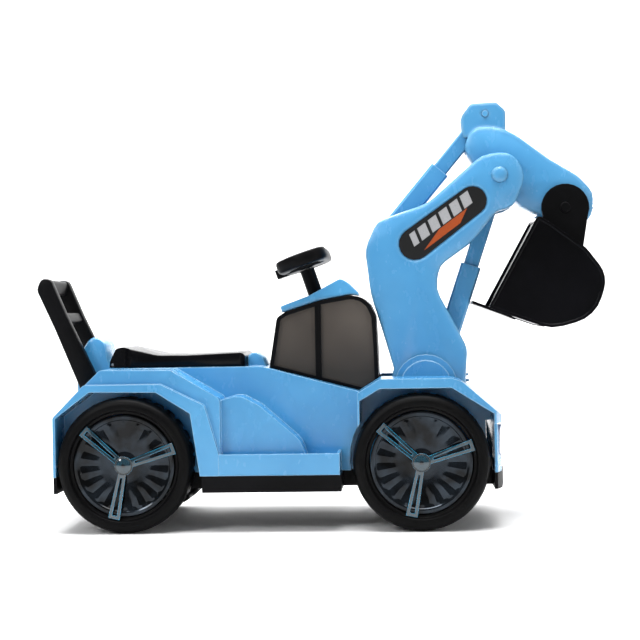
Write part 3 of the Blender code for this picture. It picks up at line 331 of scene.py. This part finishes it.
def smoked_sheet():
    """Smoked polycarbonate sheet, tinted warm brown, with soft lighter patches painted in its upper part,
    standing in for the lit inside of the console seen through it, and a sharp clear shine."""
    made, tree, shader, place_on = start("smoked_polycarbonate_moulded", IOR=1.585, Roughness=0.18,
                                         Specular_IOR_Level=0.3, Coat_Weight=0.2, Coat_Roughness=0.04)
    inside = add(tree, "TexNoise", {"Scale": per_metre(110), "Detail": 1.5}, {"Vector": place_on})
    split = add(tree, "SeparateXYZ", (), {0: place_on})
    # Painted light: the lighter patches are kept to the upper part of the sheet
    height = add(tree, "MapRange", {"From Min": 0.20, "From Max": 0.35}, {"Value": split.outputs[2]})
    both = add(tree, "Math", {}, {0: inside.outputs["Fac"], 1: height.outputs[0]}, operation="MULTIPLY")
    ramp = add(tree, "MapRange", {"From Min": 0.10, "From Max": 0.60}, {"Value": both.outputs[0]})
    tint = add(tree, "Mix", {6: linear("#35302C"), 7: linear("#625A53")}, {0: ramp.outputs[0]},
               data_type="RGBA")
    tree.links.new(tint.outputs[2], shader.inputs["Base Color"])
    ripple = add(tree, "TexNoise", {"Scale": per_metre(22), "Detail": 1.0}, {"Vector": place_on})
    rounded = add(tree, "Bevel", {"Radius": 1.2 * MM}, samples=6)
    bump = add(tree, "Bump", {"Strength": 0.4, "Distance": 0.12 * MM},
               {"Height": ripple.outputs["Fac"], "Normal": rounded.outputs[0]})
    tree.links.new(bump.outputs[0], shader.inputs["Normal"])
    return made


SMOKED = smoked_sheet()


def vacuum_plated():
    """Dark clear polystyrene with vacuum plating behind it: it mirrors the room darkly, and the
    plating is patchy behind the pleats."""
    made, tree, shader, place_on = start("smoked_polystyrene_plated_behind", Metallic=0.82, Coat_Weight=0.2,
                                         Coat_Roughness=0.05)
    streak = add(tree, "TexNoise", {"Scale": per_metre(26), "Detail": 2.0, "Roughness": 0.5},
                 {"Vector": place_on})
    spread = add(tree, "MapRange", {"From Min": 0.35, "From Max": 0.68}, {"Value": streak.outputs["Fac"]})
    tint = add(tree, "Mix", {6: linear("#030507"), 7: linear("#222A32")}, {0: spread.outputs[0]},
               data_type="RGBA")
    tree.links.new(tint.outputs[2], shader.inputs["Base Color"])
    rough = add(tree, "MapRange", {"To Min": 0.06, "To Max": 0.18}, {"Value": streak.outputs["Fac"]})
    tree.links.new(rough.outputs[0], shader.inputs["Roughness"])
    dimple = add(tree, "TexNoise", {"Scale": per_metre(12), "Detail": 1.0}, {"Vector": place_on})
    bump = add(tree, "Bump", {"Strength": 0.3, "Distance": 0.10 * MM}, {"Height": dimple.outputs["Fac"]})
    tree.links.new(bump.outputs[0], shader.inputs["Normal"])
    return made


PLATED = vacuum_plated()


# Black ABS hub cap, polished: near-black, with small sharp highlights, its rounded edges painted teal-grey as
# a highlight
HUB = moulded("black_abs_hub_polished", ("#07090C", "#101419"), 0.09, 2.0, 0.004, 0.8, "#35525E", 0.3,
              Coat_Weight=0.8)


def tinted_clear():
    """Clear teal polystyrene, as moulded: dark on its faces, with bright cyan painted along its edges in
    patches as light caught in the plastic.
    """
    made, tree, shader, place_on = start("teal_polystyrene_clear", IOR=1.59, Roughness=0.07, Coat_Weight=0.7,
                                         Coat_Roughness=0.03)
    rounded = add(tree, "Bevel", {"Radius": 1.1 * MM}, samples=8)
    flat = add(tree, "NewGeometry")
    facing = add(tree, "VectorMath", (), {0: rounded.outputs[0], 1: flat.outputs["Normal"]},
                 operation="DOT_PRODUCT")
    # Painted light: the edges are coloured bright cyan, in patches
    edge = add(tree, "MapRange", {"From Min": 0.998, "From Max": 0.80}, {"Value": facing.outputs["Value"]})
    cloud = add(tree, "TexNoise", {"Scale": per_metre(18), "Detail": 2.0}, {"Vector": place_on})
    deep = add(tree, "Mix", {6: linear("#04161D"), 7: linear("#0C3C4C")}, {0: cloud.outputs["Fac"]},
               data_type="RGBA")
    patches = add(tree, "MapRange", {"From Min": 0.42, "From Max": 0.58, "To Min": 0.25},
                  {"Value": cloud.outputs["Fac"]})
    share = add(tree, "Math", {}, {0: edge.outputs[0], 1: patches.outputs[0]}, operation="MULTIPLY")
    painted_edge_light = add(tree, "Mix", {7: linear("#1FA9DA")}, {0: share.outputs[0], 6: deep.outputs[2]},
               data_type="RGBA")
    tree.links.new(painted_edge_light.outputs[2], shader.inputs["Base Color"])
    bump = add(tree, "Bump", {"Strength": 0.3, "Distance": 0.15 * MM},
               {"Height": cloud.outputs["Fac"], "Normal": rounded.outputs[0]})
    tree.links.new(bump.outputs[0], shader.inputs["Normal"])
    return made


TEAL = tinted_clear()


WAVE_LENGTH = 2.0 * math.pi / 20.0  # metres from crest to crest of a wave pattern at scale 1
LENS_FLUTE = 6.32 * MM


def lamp_lens():
    """Clear polycarbonate lens over a bright reflector: pale grey-violet with fine upright flutes."""
    made, tree, shader, place_on = start("clear_polycarbonate_fluted", IOR=1.585, Roughness=0.10,
                                         Metallic=0.35,
                                         Coat_Weight=0.8, Coat_Roughness=0.03)
    cloud = add(tree, "TexNoise", {"Scale": per_metre(16), "Detail": 2.0}, {"Vector": place_on})
    tint = add(tree, "Mix", {6: linear("#6F6F80"), 7: linear("#C9C9D6")}, {0: cloud.outputs["Fac"]},
               data_type="RGBA")
    tree.links.new(tint.outputs[2], shader.inputs["Base Color"])
    flutes = add(tree, "TexWave", {"Scale": WAVE_LENGTH / LENS_FLUTE}, {"Vector": place_on},
                 bands_direction="Y")
    bump = add(tree, "Bump", {"Strength": 0.8, "Distance": 0.5 * MM}, {"Height": flutes.outputs["Fac"]})
    tree.links.new(bump.outputs[0], shader.inputs["Normal"])
    return made


LENS = lamp_lens()


def plated_steel():
    """Zinc-plated steel rod, drawn: a cool grey metal with faint lines round it."""
    made, tree, shader, place_on = start("zinc_plated_steel_drawn", Metallic=1.0)
    spangle = add(tree, "TexNoise", {"Scale": per_metre(6), "Detail": 3.0}, {"Vector": place_on})
    tint = add(tree, "Mix", {6: linear("#9A9C9E"), 7: linear("#C4C6C8")}, {0: spangle.outputs["Fac"]},
               data_type="RGBA")
    tree.links.new(tint.outputs[2], shader.inputs["Base Color"])
    rough = add(tree, "MapRange", {"To Min": 0.22, "To Max": 0.42}, {"Value": spangle.outputs["Fac"]})
    tree.links.new(rough.outputs[0], shader.inputs["Roughness"])
    stretched = add(tree, "Mapping", {"Scale": (1.0, 12.0, 1.0)}, {"Vector": place_on})
    lines = add(tree, "TexNoise", {"Scale": per_metre(9), "Detail": 2.0}, {"Vector": stretched.outputs[0]})
    bump = add(tree, "Bump", {"Strength": 0.5, "Distance": 0.02 * MM}, {"Height": lines.outputs["Fac"]})
    tree.links.new(bump.outputs[0], shader.inputs["Normal"])
    return made


STEEL = plated_steel()


LABEL_RUN = 88.0                   # the label's slope, in millimetres along and up
LABEL_RISE = 64.0
BAR_PITCH = 20.0 * MM
BAR_WIDTH = 15.0 * MM
BAR_LEAN = 0.25                    # a bar leans this far along for each millimetre up
ROW_HALF = 55.0 * MM
BAR_FOOT = -2.5 * MM
BAR_TOP = 17.0 * MM
WEDGE_TOP = -4.0 * MM
WEDGE_FOOT = -16.0 * MM
WEDGE_RISE = 0.32                  # slope of the wedge's upper edge
WEDGE_NOSE = -0.8 * MM             # height of that edge at the middle of the label
WEDGE_STEEP = 0.55                 # slope of its right-hand edge
WEDGE_HEEL = -27.6 * MM            # height of that edge at the middle


def printed_label():
    """Gloss vinyl label: black, with a row of leaning silver bars above an orange-brown wedge."""
    made, tree, shader, place_on = start("black_vinyl_label_printed", Roughness=0.30, IOR=1.49,
                                         Coat_Weight=0.15,
                                         Coat_Roughness=0.08)
    low, high = (np.array(c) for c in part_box("boom_badge_right"))
    middle = (low + high) / 2.0
    slant = math.atan2(LABEL_RISE, LABEL_RUN)
    moved = add(tree, "VectorMath", {1: tuple(middle)}, {0: place_on}, operation="SUBTRACT")
    turned = add(tree, "VectorRotate", {"Angle": slant}, {"Vector": moved.outputs[0]}, rotation_type="Y_AXIS")
    split = add(tree, "SeparateXYZ", (), {0: turned.outputs[0]})
    along, up = split.outputs[0], split.outputs[2]

    # bars: the distance along, leaned over with height, is cut into equal steps
    lean = add(tree, "Math", {1: -BAR_LEAN}, {0: up}, operation="MULTIPLY").outputs[0]
    leaned = add(tree, "Math", (), {0: along, 1: lean}, operation="ADD").outputs[0]
    step = add(tree, "Math", {1: BAR_PITCH}, {0: leaned}, operation="FLOORED_MODULO").outputs[0]
    filled = add(tree, "Math", {1: BAR_WIDTH}, {0: step}, operation="LESS_THAN").outputs[0]
    off_middle = add(tree, "Math", (), {0: leaned}, operation="ABSOLUTE").outputs[0]
    within = add(tree, "Math", {1: ROW_HALF}, {0: off_middle}, operation="LESS_THAN").outputs[0]
    above = add(tree, "Math", {1: BAR_FOOT}, {0: up}, operation="GREATER_THAN").outputs[0]
    below = add(tree, "Math", {1: BAR_TOP}, {0: up}, operation="LESS_THAN").outputs[0]
    band = add(tree, "Math", (), {0: above, 1: below}, operation="MULTIPLY").outputs[0]
    row = add(tree, "Math", (), {0: filled, 1: within}, operation="MULTIPLY").outputs[0]
    bars = add(tree, "Math", (), {0: row, 1: band}, operation="MULTIPLY").outputs[0]
    # wedge: between a top line and a bottom line, right of a rising edge and left of a steeper one
    under_bars = add(tree, "Math", {1: WEDGE_TOP}, {0: up}, operation="LESS_THAN").outputs[0]
    over_foot = add(tree, "Math", {1: WEDGE_FOOT}, {0: up}, operation="GREATER_THAN").outputs[0]
    rise = add(tree, "Math", {1: WEDGE_RISE, 2: WEDGE_NOSE}, {0: along}, operation="MULTIPLY_ADD").outputs[0]
    right_of = add(tree, "Math", (), {0: up, 1: rise}, operation="LESS_THAN").outputs[0]
    steep = add(tree, "Math", {1: WEDGE_STEEP, 2: WEDGE_HEEL}, {0: along},
                operation="MULTIPLY_ADD").outputs[0]
    left_of = add(tree, "Math", (), {0: up, 1: steep}, operation="GREATER_THAN").outputs[0]
    flat_part = add(tree, "Math", (), {0: under_bars, 1: over_foot}, operation="MULTIPLY").outputs[0]
    slanted = add(tree, "Math", (), {0: right_of, 1: left_of}, operation="MULTIPLY").outputs[0]
    wedge = add(tree, "Math", (), {0: flat_part, 1: slanted}, operation="MULTIPLY").outputs[0]
    speckle = add(tree, "TexNoise", {"Scale": per_metre(1.4), "Detail": 2.0}, {"Vector": place_on})
    silver = add(tree, "Mix", {6: linear("#8E8E90"), 7: linear("#A6A6A8")}, {0: speckle.outputs["Fac"]},
                 data_type="RGBA")
    orange = add(tree, "Mix", {6: linear("#8C3A14"), 7: linear("#A54A1C")}, {0: speckle.outputs["Fac"]},
                 data_type="RGBA")
    ink = add(tree, "Mix", {6: linear("#0E0E0F")}, {0: bars, 7: silver.outputs[2]}, data_type="RGBA")
    both = add(tree, "Mix", (), {0: wedge, 6: ink.outputs[2], 7: orange.outputs[2]}, data_type="RGBA")
    tree.links.new(both.outputs[2], shader.inputs["Base Color"])
    bump = add(tree, "Bump", {"Strength": 0.25, "Distance": 0.04 * MM}, {"Height": speckle.outputs["Fac"]})
    tree.links.new(bump.outputs[0], shader.inputs["Normal"])
    return made


LABEL = printed_label()


# ---------------------------------------------------------------- pieces

BODY_OF = {node: body for body, nodes in frame["record"]["behaviour"]["bodies"].items() for node in nodes}


def finish_wheels():
    """Each wheel gets a treaded tyre and a pleated disc in place of the plain ones, and a hub cap."""
    for corner in CORNERS:
        sign = 1.0 if corner.endswith("left") else -1.0
        low, high = (np.array(c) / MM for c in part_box(f"tyre_{corner}"))
        centre = (low + high) / 2.0
        near, far = sorted(abs(y) for y in (low[1], high[1]))
        body = BODY_OF[f"tyre_{corner}"]
        tyre = tyre_mesh(corner, centre, sign, near, far)
        shade(tyre, TYRE_BLEND)
        place(f"tyre_{corner}_finished", tyre, TYRE_PE, body, f"tyre_{corner}")
        disc = disc_mesh(corner, centre, sign, near + DISC_INSET)
        shade(disc, DISC_BLEND)
        place(f"wheel_disc_{corner}_finished", disc, PLATED, body, f"wheel_disc_{corner}")
        hub = turned_mesh(f"wheel_hub_{corner}", hub_profile(HUB_BASE, far - HUB_SHY), centre, sign)
        shade(hub, TYRE_BLEND)
        place(f"wheel_hub_{corner}", hub, HUB, body)


FINISHES = {
    **dict.fromkeys(("body_shell", "dash_cover", "boom_cover_right", "boom_cover_left", "boom_gear",
                     "lower_ram_barrel", "lower_ram_rod", "upper_ram_barrel", "upper_ram_rod", "ear_pin",
                     "bucket_gear", "horn_button"), BLUE_ABS),
    **dict.fromkeys(("boom_shell_right", "boom_shell_left", "stick_shell_right", "stick_shell_left",
                     "stick_pin"), BLUE_ABS_ROUND),
    **dict.fromkeys(("chassis_tray", "console_frame", "backrest", "drive_gearbox", "front_axle_beam",
                     "steering_column", "handlebar", "bucket_bracket", "bucket_pin", "battery_pack",
                     "tie_rod"), BLACK_PP),
    **dict.fromkeys(("bucket", "seat_lid"), BLACK_ABS),
    **dict.fromkeys(("side_window_right", "side_window_left"), SMOKED),
    **dict.fromkeys(("headlight_right", "headlight_left", "music_button"), LENS),
    **dict.fromkeys(("boom_badge_right", "boom_badge_left"), LABEL),
    **{f"wheel_star_{corner}": TEAL for corner in CORNERS},
}


def finish_cad_nodes():
    """Every other CAD node keeps its shape in a merged copy with its own finish."""
    replaced = {f"{kind}_{corner}" for kind in ("tyre", "wheel_disc") for corner in CORNERS}
    for node, body in BODY_OF.items():
        if node not in replaced:
            place(node + "_finished", merged_copy(node), FINISHES.get(node, STEEL), body, node)


finish_wheels()
finish_cad_nodes()


# ---------------------------------------------------------------- studio


# Studio, in metres
FLOOR_HALF = 4.0
FLOOR_FRONT = -4.5
BEND_START = 2.4                   # where the floor starts to curve up
BEND_RADIUS = 1.2


def make_stage():
    """A pale floor that curves up into a backdrop: flat, then a quarter round, then upright."""
    along = np.linspace(-FLOOR_HALF, FLOOR_HALF, 9)
    turn = np.linspace(0.1, 1.57, 14)
    level = np.linspace(FLOOR_FRONT, BEND_START, 12)
    upright = np.linspace(1.6, 5.0, 4)
    depth = np.concatenate((level, BEND_START + BEND_RADIUS * np.sin(turn),
                            np.full(len(upright), BEND_START + BEND_RADIUS)))
    height = np.concatenate((0.0 * level, BEND_RADIUS - BEND_RADIUS * np.cos(turn), upright))
    x, _ = np.meshgrid(along, depth, indexing="ij")
    points = np.stack((x, np.broadcast_to(depth, x.shape), np.broadcast_to(height, x.shape)), axis=-1)
    mesh = grid_surface("studio_floor", points)
    mesh.polygons.foreach_set("use_smooth", np.ones(len(mesh.polygons), dtype=bool))
    floor = bpy.data.objects.new("studio_floor", mesh)
    bpy.context.scene.collection.objects.link(floor)
    made, tree, shader, place_on = start("matt_paper_roll", Roughness=0.9)
    fibre = add(tree, "TexNoise", {"Scale": per_metre(4.0), "Detail": 3.0}, {"Vector": place_on})
    tint = add(tree, "Mix", {6: linear("#EEEEEE"), 7: linear("#F4F4F4")}, {0: fibre.outputs["Fac"]},
               data_type="RGBA")
    tree.links.new(tint.outputs[2], shader.inputs["Base Color"])
    mesh.materials.append(made)


def softbox(name, place_at, target, size, watts):
    """A white rectangular lamp that faces its target."""
    data = bpy.data.lights.new(name, "AREA")
    data.shape = "RECTANGLE"
    data.size, data.size_y = size
    data.energy = watts
    lamp = bpy.data.objects.new(name, data)
    bpy.context.scene.collection.objects.link(lamp)
    lamp.location = place_at
    lamp.rotation_euler = (Vector(target) - Vector(place_at)).to_track_quat("-Z", "Y").to_euler()


def make_lights():
    """Four soft lamps round the toy, one on the backdrop, and faint cool light from everywhere."""
    softbox("overhead", (0.0, -0.3, 2.4), (0.0, 0.0, 0.2), (1.9, 1.3), 98.0)
    softbox("front_left", (-1.8, -1.9, 1.9), (0.0, 0.0, 0.3), (0.7, 1.0), 33.0)
    softbox("front_right", (2.4, -1.7, 1.0), (0.1, 0.0, 0.35), (0.5, 1.6), 10.0)
    softbox("behind", (0.3, 2.2, 1.9), (0.0, 0.0, 0.4), (2.4, 0.8), 34.0)
    softbox("backdrop_wash", (0.0, 1.2, 2.6), (0.0, 3.4, 0.6), (3.6, 0.8), 150.0)
    world = bpy.data.worlds.new("studio_air")
    bpy.context.scene.world = world
    world.use_nodes = True
    world.node_tree.nodes["Background"].inputs["Color"].default_value = linear("#F2F5F8")
    world.node_tree.nodes["Background"].inputs["Strength"].default_value = 0.30


CAMERA_BACK = 2.173                # metres from the middle plane
CAMERA_ASIDE = 0.0613              # metres forward for each metre back
CAMERA_HEIGHT = 0.316
CAMERA_SHY = 0.0008                # a last nudge to the rear
CAMERA_LENS = 78.6
CAMERA_ROLL = math.radians(-1.0)
CAMERA_DIP = 0.0036                # fall of the view for each metre ahead


def make_camera():
    """A long lens from the right, a little ahead of the middle."""
    data = bpy.data.cameras.new("three_quarter_side")
    data.lens = CAMERA_LENS
    camera = bpy.data.objects.new("three_quarter_side", data)
    bpy.context.scene.collection.objects.link(camera)
    camera.location = (CAMERA_ASIDE * CAMERA_BACK - CAMERA_SHY, -CAMERA_BACK, CAMERA_HEIGHT)
    ahead = Vector((-CAMERA_ASIDE, 1.0, -CAMERA_DIP))
    turn = ahead.to_track_quat("-Z", "Y").to_matrix().to_4x4() @ Matrix.Rotation(CAMERA_ROLL, 4, "Z")
    camera.rotation_euler = turn.to_euler()
    bpy.context.scene.camera = camera


make_stage()
make_lights()
make_camera()
bpy.context.scene.view_settings.view_transform = "Standard"
